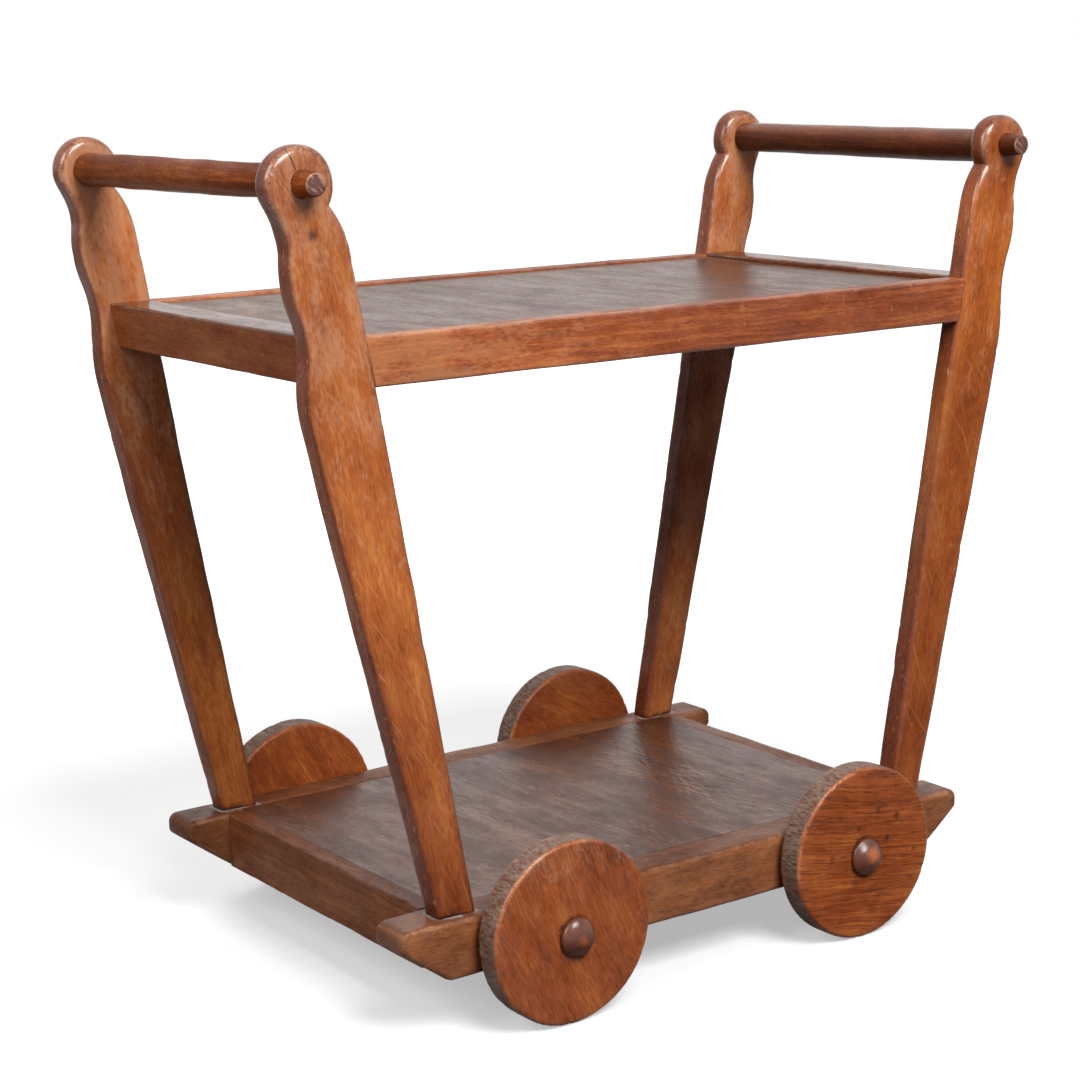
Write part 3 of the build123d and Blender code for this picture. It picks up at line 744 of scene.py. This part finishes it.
def make_leg(corner, seed, material, nicks, tones_and_shade, painted_edge_shade, fade_and_light, sheen, edge_sheen=0.0, bare=0.0,
             head_lift=0.0, swell=0.0, inset=0.0):
    """Leg board, its edge lines joined row by row, mirrored to its own corner.

    Swell widens its outer edge at the head and the lower bulge, and inset moves its upper part towards the
    middle, both along smooth steps of the height. The tones_and_shade darken it at tone_and_shade_heights,
    partly as its own colour and partly as painted shade; painted_edge_shade paints shade on its narrow edges
    at edge_heights, and lightens them where it is negative. Towards its top it is paler, partly faded and
    partly with a painted pale sheen, and it is polished by the given sheen. Its low arrises are bare by the
    given share.
    """
    side, end = (signs[word] for word in corner.split("_"))
    inner, outer = leg_edges(head_lift)
    height = outer[:, 1]
    beyond = np.clip((outer[:, 0] - head_x) / head_radius, 0, 1)
    outer[:, 0] += swell * beyond * smooth(height, *head_swells_z)
    outer[:, 0] += swell * smooth(height, *shaft_swells_z) * smooth(height, *swell_ends_z)
    for line in (inner, outer):
        line[:, 0] -= inset * smooth(line[:, 1], *inset_z) * (1 - 0.3 * smooth(line[:, 1], *inset_eases_z))
    radius = leg_arris + (head_arris - leg_arris) * smooth(inner[:, 1], *arris_grows_z)
    radii = worn_arrises(radius, inner, outer, seed, nicks=6, known=nicks)
    u, v, w, wear_and_highlight = board(inner, outer, leg_inner_y, leg_face_y, radii, leg_shares, leg_shares)
    points = hand_worked(points_of(end * u, side * w, v), seed)
    z = points[..., 2]
    # Dark at the foot and just under the tray: dirt, and painted shade where rail and tray meet the leg.
    grime_and_shade = 0.75 * np.exp(-(z - deck_top) / 0.012) + 0.45 * bell(z - tray_bottom + 0.004, 0.012)
    depth = np.abs(w - (leg_inner_y + leg_face_y) / 2) / ((leg_face_y - leg_inner_y) / 2)
    edge = smooth(depth, 0.98, 0.75)
    top = smooth(z, *crown_z)
    # Paler towards the top: partly fading, partly a painted pale sheen.
    bleach_and_light = fade_and_light * smooth(z, *fade_and_light_z) * (1 + 0.2 * top) * (1 - edge)
    rubbed = np.maximum(bare, smooth(z, *rubbed_z))
    # Darker by height: own colour, and painted shade under the tray. Painted shade darkens the narrow edges.
    tone_and_shade = np.interp(z, tone_and_shade_heights, tones_and_shade) + edge * np.interp(z, edge_heights, painted_edge_shade)
    tone_and_shade = tone_and_shade + wear_and_highlight * (0.35 * (1 - rubbed) + 0.3 * top)
    wear_and_highlight = wear_and_highlight * (0.25 + 0.75 * rubbed)
    polish = np.max([1.2 * wear_and_highlight, smooth(z, *held_z) * (1 - 0.6 * edge), sheen * smooth(z, *shines_z),
                     edge_sheen * edge], 0)
    traits = {"wear_and_highlight": wear_and_highlight, "grime_and_shade": grime_and_shade, "bleach_and_light": bleach_and_light, "polish": polish, "tone_and_shade": np.clip(tone_and_shade, 0, 1)}
    along = (end * (head_x - (foot_inner_x + foot_outer_x) / 2), 0, head_z - deck_top)
    make_piece(f"{corner}_leg", points, traits, material, grain_axes(along), seed, capped=True)


def rail_edges():
    """Top and bottom edge line of a lower rail in X and Z, row by row from end to end.

    The top line turns down to the tip of each nose on an arc; the bottom line climbs to it along the nose's
    slope. The rows crowd where the deck's rebate stops.
    """
    tip = (rail_half_length, deck_top - nose_tip_height / 2)
    lip = (rail_half_length, deck_top - nose_tip_height)
    crowd = np.array([0.2475, rebate_end - 0.0001, rebate_end + 0.0001, 0.2535])
    top_end = rounded_line([(nose_foot_x, deck_top), (rail_half_length, deck_top), tip], [nose_top_radius])
    low_end = rounded_line([(middle_x, rail_bottom), (nose_foot_x, rail_bottom), lip, tip],
                           [nose_foot_radius, nose_lip_radius])
    top = np.concatenate([points_of(crowd, deck_top), spaced(top_end, nose_rows)])
    low = spaced(low_end, len(top) + 1)[1:]
    middle = np.linspace(-middle_x, middle_x, middle_rows)
    return [np.concatenate([(right * (-1, 1))[::-1], points_of(middle, level), right])
            for right, level in ((top, deck_top), (low, rail_bottom))]


def make_rail(side_name, seed, tone_and_shade, shade=0.0):
    """Lower side rail between its edge lines, rebated along its top for the deck."""
    side = signs[side_name]
    top, low = rail_edges()
    radii = np.minimum(worn_arrises(rail_arris, top, low, seed, nicks=8), rail_arris * 1.12)
    rebated = np.abs(top[:, 0]) < rebate_end
    radii[3, rebated] = rebate_arris
    ledge = (np.where(rebated, rebate_width, 0.0), rebate_depth)
    u, v, w, wear_and_highlight = board(top, low, -rail_outer_y, -rail_inner_y, radii, rail_shares, rail_shares, ledge)
    points = hand_worked(points_of(u, -side * w, v), seed)
    x, y, z = np.abs(axes_of(points))
    upper = near_top(z, deck_top, 0.004)
    # Beside each foot the top takes a pale dusting, which is also a painted sheen.
    gap_x, gap_y = np.maximum(foot_inner_x - x, x - foot_outer_x), np.maximum(leg_inner_y - y, y - leg_face_y)
    beside_foot = bell(np.hypot(np.maximum(gap_x, 0), np.maximum(gap_y, 0)), 0.005)
    # Painted shade darkens the rail towards its left end, by the share given.
    painted_shade = shade * smooth(points[..., 0], *rail_painted_shade_x)
    nose = smooth(x, *nose_worn_x)
    # Darker towards its bottom edge.
    traits = {"wear_and_highlight": wear_and_highlight * (1 + 0.3 * nose) * (1 - 0.75 * smooth(x, *nose_kept_x)),
              "grime_and_shade": 0.5 * smooth(z, *rail_darkens_z), "dust_and_sheen": 0.85 * beside_foot * upper,
              "end_grain": 0.6 * smooth(x, *nose_cut_x), "tone_and_shade": np.clip(tone_and_shade * upper + painted_shade, 0, 1),
              "polish": 0.2 * upper * nose}
    make_piece(f"{side_name}_lower_rail", points, traits, rail_oak, grain_along, seed)


def make_tray_apron(side_name, seed, sheen, tone_and_shade=0.0, top_tone_and_shade=0.0, dents=()):
    """Tray side apron, its ends leaning with the legs."""
    side = signs[side_name]
    half_top, half_low = inner_edge_x(tray_top) + butt_overlap, inner_edge_x(tray_bottom) + butt_overlap
    top, low = straight_board(half_top, half_low, tray_top, tray_bottom, tray_apron_rows)
    radii = worn_arrises(tray_arris, top, low, seed, nicks=14)
    u, v, w, wear_and_highlight = board(top, low, leg_inner_y, leg_face_y, radii, apron_shares, apron_shares)
    points = dented(hand_worked(points_of(u, side * w, v), seed, amount=0.00016, wavelength=0.08), dents)
    x, _, z = axes_of(points)
    reach = inner_edge_x(z) - np.abs(x)
    joint = bell(reach, 0.008) * (x > 0)
    # Painted light falls off along the apron: darker towards its right end, paler towards its left.
    tone_and_shade = tone_and_shade + 0.4 * smooth(x, *apron_shade_falloff_x) * (1 - joint) + top_tone_and_shade * near_top(z, tray_top)
    traits = {"wear_and_highlight": np.maximum(wear_and_highlight, 0.85 * joint), "grime_and_shade": 0.4 * trailing(reach, 0.0005),
              "bleach_and_light": 0.75 - 0.6 * smooth(x, *apron_light_falloff_x), "polish": sheen * wear_and_highlight, "tone_and_shade": tone_and_shade}
    make_piece(f"{side_name}_tray_apron", points, traits, tray_apron_oak, grain_along, seed, capped=True)


def make_tray_end_rail(end_name, seed):
    """Tray end rail: a straight board sheared outwards with height, as the legs' inner edges lean."""
    end = signs[end_name]
    half = leg_inner_y + butt_overlap
    top, low = straight_board(half, half, end_rail_top, end_rail_bottom, end_rail_rows)
    radii = worn_arrises(tray_arris, top, low, seed, nicks=9)
    inner_x, outer_x = foot_inner_x, foot_inner_x + end_rail_width
    u, v, w, wear_and_highlight = board(top, low, inner_x, outer_x, radii, apron_shares, apron_shares)
    points = hand_worked(points_of(end * (w + inner_lean * (v - deck_top)), u, v), seed)
    _, y, z = axes_of(points)
    upper = near_top(z, end_rail_top)
    # Painted shade darkens the inner face; the top is darker as well.
    within = smooth(w, inner_x + 0.004, inner_x + 0.001)
    traits = {"wear_and_highlight": wear_and_highlight, "grime_and_shade": 0.8 * trailing(leg_inner_y - np.abs(y), 0.004), "polish": 0.9 * upper,
              "tone_and_shade": np.maximum(0.9 * upper, within)}
    make_piece(f"{end_name}_tray_end_rail", points, traits, end_rail_oak, grain_across, seed, capped=True)


def make_lower_apron(end_name, seed, nicks=()):
    """Lower end apron, rebated along its top for the deck."""
    end = signs[end_name]
    half = rail_inner_y + butt_overlap
    top, low = straight_board(half, half, deck_top, rail_bottom, apron_rows)
    radii = worn_arrises(apron_arris, top, low, seed, nicks=10, known=nicks)[:3] + [rebate_arris]
    ledge = (np.full(len(top), rebate_width), rebate_depth)
    u, v, w, wear_and_highlight = board(top, low, -apron_face_x, -apron_inner_x, radii, apron_shares, apron_shares, ledge)
    points = hand_worked(points_of(-end * w, u, v), seed, amount=0.00016)
    _, y, z = axes_of(points)
    # Darker at its ends beside the rails, with dirt and painted shade, and towards its bottom edge.
    grime_and_shade = 0.7 * trailing(rail_inner_y - np.abs(y), 0.005) + 0.4 * smooth(z, *apron_darkens_z)
    upper = near_top(z, deck_top)
    traits = {"wear_and_highlight": 0.6 * wear_and_highlight, "grime_and_shade": grime_and_shade, "tone_and_shade": 0.5 * upper, "polish": 0.2 * upper}
    make_piece(f"{end_name}_lower_apron", points, traits, apron_oak, grain_across, seed, capped=True)


def make_panel(name, half_x, half_y, bottom, top, material, seed, ripple, rows, lean=0.0, dust_and_sheen=0.0, cup=0.0):
    """Panel with a raised grain: its upper face sinks along ripples drawn out across the trolley.

    The ends lean outwards with height where the rails beside them do, and the far edge rises by cup.
    """
    edge_a, edge_b = straight_board(half_x, half_x, half_y, -half_y, rows)
    x, y, z, _ = board(edge_a, edge_b, bottom, top, [panel_edge] * 4, [0.5], panel_shares)
    x = x + np.sign(x) * smooth(np.abs(x), half_x - 0.03, half_x) * lean * (z - bottom)
    fine, slow = points_of(x, y * 0.26), points_of(x, y * 0.4)
    rough = 0.3 + smooth(sine_field(slow, 0.11, seed + 2), -0.6, 1.1)
    ridges = rough * (sine_field(fine, 0.005, seed, waves=32) + 0.4 * sine_field(slow, 0.02, seed + 1))
    upper = smooth(z, top - 0.0002, top)
    from_end, from_side = half_x - np.abs(x), half_y - np.abs(y)
    z = z - upper * smooth(np.minimum(from_end, from_side), 0.0, 0.006) * ripple * (0.5 + 0.25 * ridges)
    z = z + upper * cup * smooth(y, 0.4 * half_y, half_y)
    # Paler along the edges: a dusting, painted also to lighten the shade beside the rim.
    traits = {"dust_and_sheen": dust_and_sheen * trailing(np.minimum(from_end, from_side * 0.4), 0.008),
              "bleach_and_light": 0.15 + 0.35 * smooth(x, *panel_bleach_x)}
    make_piece(name, points_of(x, y, z), traits, material, grain_across, seed, capped=True)


def make_wheel(corner, seed, lean, material, tone_and_shade=0.0, fade_and_light=0.0):
    """Turned wheel: a closed profile of two faces, eased arrises, rim and bore, carried round its axle.

    The rim is worn out of round and its arrises are nicked. Its fibres lie at lean degrees from the level.
    """
    side, end = (signs[word] for word in corner.split("_"))
    a, flat_radius = wheel_arris, wheel_radius - wheel_arris
    turn = np.linspace(0, np.pi / 2, 7)
    inner_face = points_of(np.linspace(bore_radius, flat_radius, 9)[:-1], wheel_inner_y)
    inner_arris = points_of(flat_radius + a * np.sin(turn), wheel_inner_y + a - a * np.cos(turn))
    rim = points_of(wheel_radius, np.linspace(wheel_inner_y + a, wheel_outer_y - a, 11)[1:-1])
    outer_arris = points_of(flat_radius + a * np.cos(turn), wheel_outer_y - a + a * np.sin(turn))
    outer_face = points_of(np.linspace(flat_radius, bore_radius, 20)[1:], wheel_outer_y)
    profile = np.concatenate([inner_face, inner_arris, rim, outer_arris, outer_face])
    grid = turned(profile, 0.0, 0.0, wheel_angles)
    x, y, z = axes_of(grid)
    r, angle = np.hypot(x, z), np.arctan2(z, x)
    at_rim = smooth(r, wheel_radius - 0.008, wheel_radius)
    draw = np.random.default_rng(seed)
    nick = np.zeros_like(r)
    for place, width, depth, edge in zip(
            draw.uniform(-np.pi, np.pi, wheel_nicks), draw.uniform(0.012, 0.05, wheel_nicks),
            draw.uniform(0.0001, 0.0007, wheel_nicks),
            draw.choice([wheel_inner_y, wheel_outer_y], wheel_nicks)):
        away = np.angle(np.exp(1j * (angle - place)))
        nick += depth * bell(away, width) * bell(y - edge, 0.005)
    round_rim = points_of(np.cos(angle), np.sin(angle))
    flat = 0.0002 * (1 + sine_field(round_rim, 0.9, seed))
    ridge = 0.00006 * (1 + sine_field(round_rim, 0.045, seed + 1))
    shrink = 1 - at_rim * (np.maximum(flat, 0) + np.maximum(ridge, 0) + nick) / wheel_radius
    face_dip = 0.00012 * (1 + sine_field(grid, 0.03, seed + 2)) * (1 - at_rim)
    y = y - np.sign(y - (wheel_inner_y + wheel_outer_y) / 2) * np.maximum(face_dip, 0)
    points = points_of(x * shrink + end * axle_x, side * y, z * shrink + axle_z)
    worn, rounding = 0.6 + 0.4 * np.sin(2 * turn), smooth(turn, math.radians(58), math.radians(90))
    inner, outer = np.zeros(len(inner_face)), np.zeros(len(outer_face))
    arris = np.concatenate(
        [inner[2:], [0.25, 0.5], worn, np.full(len(rim), 0.25), worn, [0.45, 0.25], outer[2:]])
    # Painted highlight: the arrises are paler on their upper left, where the light falls.
    arris = arris[:, None] * (0.3 + 0.7 * smooth(np.cos(angle - 2.3), -0.2, 0.7))
    cut = np.concatenate([inner, rounding, np.ones(len(rim)), rounding[::-1], outer])[:, None]
    # Paler towards its top, partly painted light; a painted shadow ring darkens it round the hub.
    traits = {"wear_and_highlight": arris, "end_grain": cut, "tone_and_shade": tone_and_shade, "polish": 0.5 * arris, "dust_and_sheen": 0.36 * cut,
              "bleach_and_light": fade_and_light * smooth(z / wheel_radius, 0.2, 0.7),
              "grime_and_shade": 0.9 * bell(np.maximum(r - hub_radius + 0.003, 0), 0.004)}
    lean = math.radians(lean)
    along = np.array([math.cos(lean), 0, math.sin(lean)])
    axes = (along, np.cross((0, 1, 0), along), np.array([0.0, 1.0, 0.0]))
    name = f"{corner}_wheel"
    make_piece(name, points, traits, material, axes, seed, body=name, ring=True)


def make_axle_peg(corner, seed, shift):
    """Axle peg: a round shank and a hand-cut dome, the arc of a circle from its rim to its top.

    The dome is cut off centre by the shift in X and Z.
    """
    side, end = (signs[word] for word in corner.split("_"))
    dome_foot = (hub_radius, hub_seat_y + hub_rim)
    shank = [(0, peg_inner_y), (shank_radius, peg_inner_y), (shank_radius, hub_seat_y - 0.0003),
             (shank_radius, hub_seat_y)]
    rim = [(hub_radius * 0.75, hub_seat_y), (hub_radius - 0.0004, hub_seat_y),
           (hub_radius, hub_seat_y + 0.0008), dome_foot]
    dome = tangent_arc((0, peg_outer_y), (1, 0), dome_foot, count=18)[::-1][1:]
    profile = np.concatenate([shank, rim, dome])
    x, y, z = axes_of(turned(profile, end * axle_x, axle_z, hub_angles))
    cut = smooth(y, hub_seat_y + 0.001, hub_seat_y + 0.004)[..., None]
    head = smooth(y, hub_seat_y - 0.0002, hub_seat_y - 0.0001)
    points = points_of(x + shift[0] * head, side * y, z + shift[1] * head)
    points = points + cut * (hand_worked(points, seed, amount=0.0003, wavelength=0.02) - points)
    wear_and_highlight, grime_and_shade = np.zeros((2, len(profile), 1))
    # Painted highlight: a pale arc on the dome's rim.
    wear_and_highlight[5:8, 0] = 0.4, 0.8, 0.7
    # Painted shade and dirt darken the shank and the rim's foot.
    grime_and_shade[:7] = 0.6
    polish = smooth((points[..., 2] - axle_z - shift[1]) / hub_radius, -0.4, 0.4)
    traits = {"wear_and_highlight": wear_and_highlight, "grime_and_shade": grime_and_shade, "polish": polish}
    make_piece(f"{corner}_axle_peg", points, traits, hub_oak, grain_across, seed)


def make_handle(end_name, seed, tone_and_shade, top_tone_and_shade, polish, drop, sag):
    """Handle bar: half a profile from the tip of the peg to the middle, mirrored and turned about Y.

    Between the legs it lies lower by drop, and its underside sinks by sag towards the near end. Its top is
    polished.
    """
    centre_x = signs[end_name] * bar_x
    centre = (0, bar_tip_y)
    peg = [centre, (peg_tip_radius, bar_tip_y), (peg_radius, leg_face_y)]
    tip = rounded_line(peg, [peg_tip_arris], count=7)
    disc, cone = np.linspace(centre, tip[1], 5)[:-1], np.linspace(tip[-2], tip[-1], 8)[1:]
    step = [(peg_radius, leg_inner_y - 0.0002), (bar_radius - 0.0012, leg_inner_y - 0.0002),
            (bar_radius - 0.0003, leg_inner_y - 0.0006), (bar_radius, leg_inner_y - 0.0016)]
    bar = points_of(bar_radius, np.linspace(leg_inner_y - 0.003, 0, bar_rows))
    half = np.concatenate([disc, tip[1:-1], cone, step, bar])
    profile = np.concatenate([half, (half * (1, -1))[::-1][1:]])
    x, y, z = axes_of(turned(profile, centre_x, bar_z, bar_angles))
    up = (z - bar_z) / bar_radius
    between = smooth(np.abs(y), leg_inner_y + 0.001, leg_inner_y)
    z = z - between * (drop + sag * smooth(y, leg_inner_y, -leg_inner_y) * (1 - up) / 2)
    points = hand_worked(points_of(x, y, z), seed, amount=0.0002, wavelength=0.05)
    x, y, z = axes_of(points)
    away, radius = np.abs(y), np.hypot(x - centre_x, z - bar_z)
    rim = bell(radius - peg_tip_radius + 0.0005, 0.0012) * smooth(away, bar_tip_y - 0.003, bar_tip_y)
    neck = bell(away - leg_inner_y, 0.006)
    collar = bell(np.maximum(away - leg_face_y, 0), 0.003) * (away > leg_inner_y)
    # Painted shade darkens the left bar's top and painted light brightens the right bar's top.
    traits = {"wear_and_highlight": 0.9 * rim + 0.25, "end_grain": smooth(away, bar_tip_y - 0.0012, bar_tip_y),
              # Dirt and painted shade darken it where it meets the legs.
              "grime_and_shade": 0.75 * np.maximum(neck, collar), "tone_and_shade": tone_and_shade + top_tone_and_shade * smooth(up, 0.1, 0.8),
              "polish": polish * (0.12 + 0.88 * smooth(up, 0.1, 0.9)) + 0.5 * smooth(-up, 0.4, 0.95)}
    make_piece(f"{end_name}_handle_bar", points, traits, handle_oak, grain_across, seed)


# The darkening below mixes each leg's own colour with painted shade.
make_leg("near_left", 11, knotty_leg_oak, {}, tones_and_shade=(0.65, 0.4, 0.05, 0.05, 0.2, 0.25, 0.45),
         painted_edge_shade=(0.65,) * 8, fade_and_light=0.62, sheen=0.2, head_lift=0.0026, swell=0.0038)
make_leg("near_right", 12, leg_oak, {3: [(0.405, 0.003, 0.003)]},
         tones_and_shade=(0.6, 0.55, 0.5, 0.4, 0.1, 0.12, 0.32),
         painted_edge_shade=(0.4, 0.25, -0.1, -0.15, 0.6, 0.8, 0.3, 0.7), fade_and_light=0.45, sheen=0.05, edge_sheen=0.5,
         bare=0.55)
make_leg("far_left", 13, far_leg_oak, {}, tones_and_shade=(0.4, 0.0, 0.45, 0.55, 0.2, 0.15, 0.6),
         painted_edge_shade=(0.9,) * 8, fade_and_light=0.75, sheen=0.5, inset=0.0032)
make_leg("far_right", 14, far_leg_oak, {2: [(0.545, 0.002, 0.003)]},
         tones_and_shade=(0.4, 0.4, 0.5, 0.9, 0.35, 0.15, 0.45), painted_edge_shade=(0.7, 0.7, 0.7, 0.7, 0.75, 0.8, 0.8, 0.8),
         fade_and_light=0.65, sheen=0.3)
make_rail("near", 21, tone_and_shade=0.85)
make_rail("far", 22, tone_and_shade=0.5, shade=0.45)
apron_dent = ((0.1901, -leg_face_y, 0.5771), (0, 1, 0), 0.0012, 0.003)
make_tray_apron("near", 31, sheen=0.5, top_tone_and_shade=0.3, dents=[apron_dent])
make_tray_apron("far", 32, sheen=0.15, tone_and_shade=0.35)
make_tray_end_rail("left", 33)
make_tray_end_rail("right", 34)
make_lower_apron("left", 41, nicks={0: [(0.0215, 0.003, 0.008)]})
make_lower_apron("right", 42)
make_panel("deck_panel", rebate_end - panel_gap, rail_inner_y + rebate_width - panel_gap, deck_panel_bottom,
           deck_panel_top, deck_oak, 51, ripple=0.00028, rows=500)
make_panel("tray_panel", inner_edge_x(tray_panel_bottom), leg_inner_y, tray_panel_bottom,
           tray_panel_top + tray_rise, tray_oak, 52, ripple=0.00015, rows=420, lean=inner_lean, dust_and_sheen=0.8,
           cup=tray_cup)
# Each wheel's darkening is own colour and painted shade; its paling is partly painted light.
make_wheel("near_left", 61, 113, wheel_oak, tone_and_shade=0.45, fade_and_light=0.5)
make_wheel("near_right", 62, -9.5, lined_wheel_oak, tone_and_shade=0.4)
make_wheel("far_left", 63, 120, wheel_oak)
make_wheel("far_right", 64, 150, wheel_oak, tone_and_shade=0.35)
hub_shifts = {"near_left": (0.002, -0.003), "near_right": (0.0, -0.0028)}
for seed, corner in enumerate(corners, 71):
    make_axle_peg(corner, seed, hub_shifts.get(corner, (0.0, 0.0)))
    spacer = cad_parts[f"{corner}_spacer"]
    spacer.data.materials.clear()
    spacer.data.materials.append(spacer_oak)
# The left bar's top is painted darker, the right bar's top painted lighter.
make_handle("left", 81, tone_and_shade=0.0, top_tone_and_shade=0.5, polish=0.1, drop=0.0006, sag=-0.0018)
make_handle("right", 82, tone_and_shade=0.85, top_tone_and_shade=-0.35, polish=1.2, drop=0.0008, sag=0.0022)


def seen_rays(n):
    """Light path sockets, and whether a ray comes from the camera, a reflection or glass."""
    path = n.add("LightPath")
    mirrored = n.larger(path["Is Glossy Ray"], path["Is Transmission Ray"])
    return path, n.larger(path["Is Camera Ray"], mirrored)


def make_floor(half=9.0):
    """Pale floor that takes the object's shadow, seen near white by the camera and in reflections."""
    material = bpy.data.materials.new("pale_floor")
    n = blank_nodes(material)
    path, seen = seen_rays(n)
    away = n.vector("LENGTH", n.add("TexCoord")["Object"], result="Value")
    lit = n.add("BsdfDiffuse", {"Color": n.mix(seen, paint((66, 60, 56)), paint((200, 200, 200)))})
    strength = n.times(path["Is Camera Ray"], n.ramp(away, 0.5, 2.2, 0.45, 1.0))
    glow = n.add("Emission", {"Color": paint((255, 255, 255)), "Strength": strength})
    both = n.add("AddShader", {0: lit[0], 1: glow[0]})
    n.add("OutputMaterial", {0: both[0]})
    mesh = bpy.data.meshes.new("floor")
    square = [(-half, -half, 0), (half, -half, 0), (half, half, 0), (-half, half, 0)]
    mesh.from_pydata(square, [], [(0, 1, 2, 3)])
    mesh.materials.append(material)
    floor = new_object("floor", mesh)


def make_sky():
    """World: white to the camera and to reflections, and as light a soft sky that is brighter overhead."""
    world = bpy.data.worlds.new("overcast")
    bpy.context.scene.world = world
    n = blank_nodes(world)
    path, seen = seen_rays(n)
    seen = n.times(seen, n.math("LESS_THAN", path["Diffuse Depth"], 0.5))
    up = n.add("SeparateXYZ", {0: n.add("TexCoord")["Generated"]})["Z"]
    sky = n.ramp(up, 0.3, 1.0, 0.0, 0.4)
    strength = n.add("Mix", {0: seen, 2: sky, 3: 1.0}, data_type="FLOAT")[0]
    back = n.add("Background", {"Color": (1, 1, 1, 1), "Strength": strength})
    n.add("OutputWorld", {0: back[0]})


lamp_target = Vector((0, 0, 0.4))


def make_lamp(name, place, size, power, mirrored=True):
    """Square soft lamp at place, turned to face the object, and mirrored in glossy faces or not."""
    lamp = bpy.data.lights.new(name, "AREA")
    lamp.size = size
    lamp.energy = power
    holder = new_object(name, lamp)
    holder.location = place
    holder.visible_glossy = mirrored
    holder.rotation_euler = (lamp_target - Vector(place)).to_track_quat("-Z", "Y").to_euler()


def make_camera(place, bearing, drop, roll, lens):
    """Camera looking along a bearing from +Y towards +X, lowered by drop and turned by roll, in degrees."""
    pose = Matrix.Translation(place)
    for angle, axis in ((-bearing, "Z"), (90 - drop, "X"), (roll, "Z")):
        pose = pose @ Matrix.Rotation(math.radians(angle), 4, axis)
    lens_data = bpy.data.cameras.new("camera")
    lens_data.lens = lens
    lens_data.sensor_width = 36
    camera = new_object("camera", lens_data)
    camera.matrix_world = pose
    bpy.context.scene.camera = camera


make_floor()
make_sky()
make_lamp("key", (-0.34, -2.8, 3.24), size=1.8, power=195)
make_lamp("left_fill", (-2.6, -0.5, 2.2), size=1.5, power=50)
make_lamp("back_fill", (1.2, 2.8, 2.8), size=3.0, power=60, mirrored=False)
make_camera((-1.2897, -1.7827, 0.8052), bearing=35.407, drop=11.595, roll=-1.070, lens=81.39)
bpy.context.scene.view_settings.view_transform = "Standard"
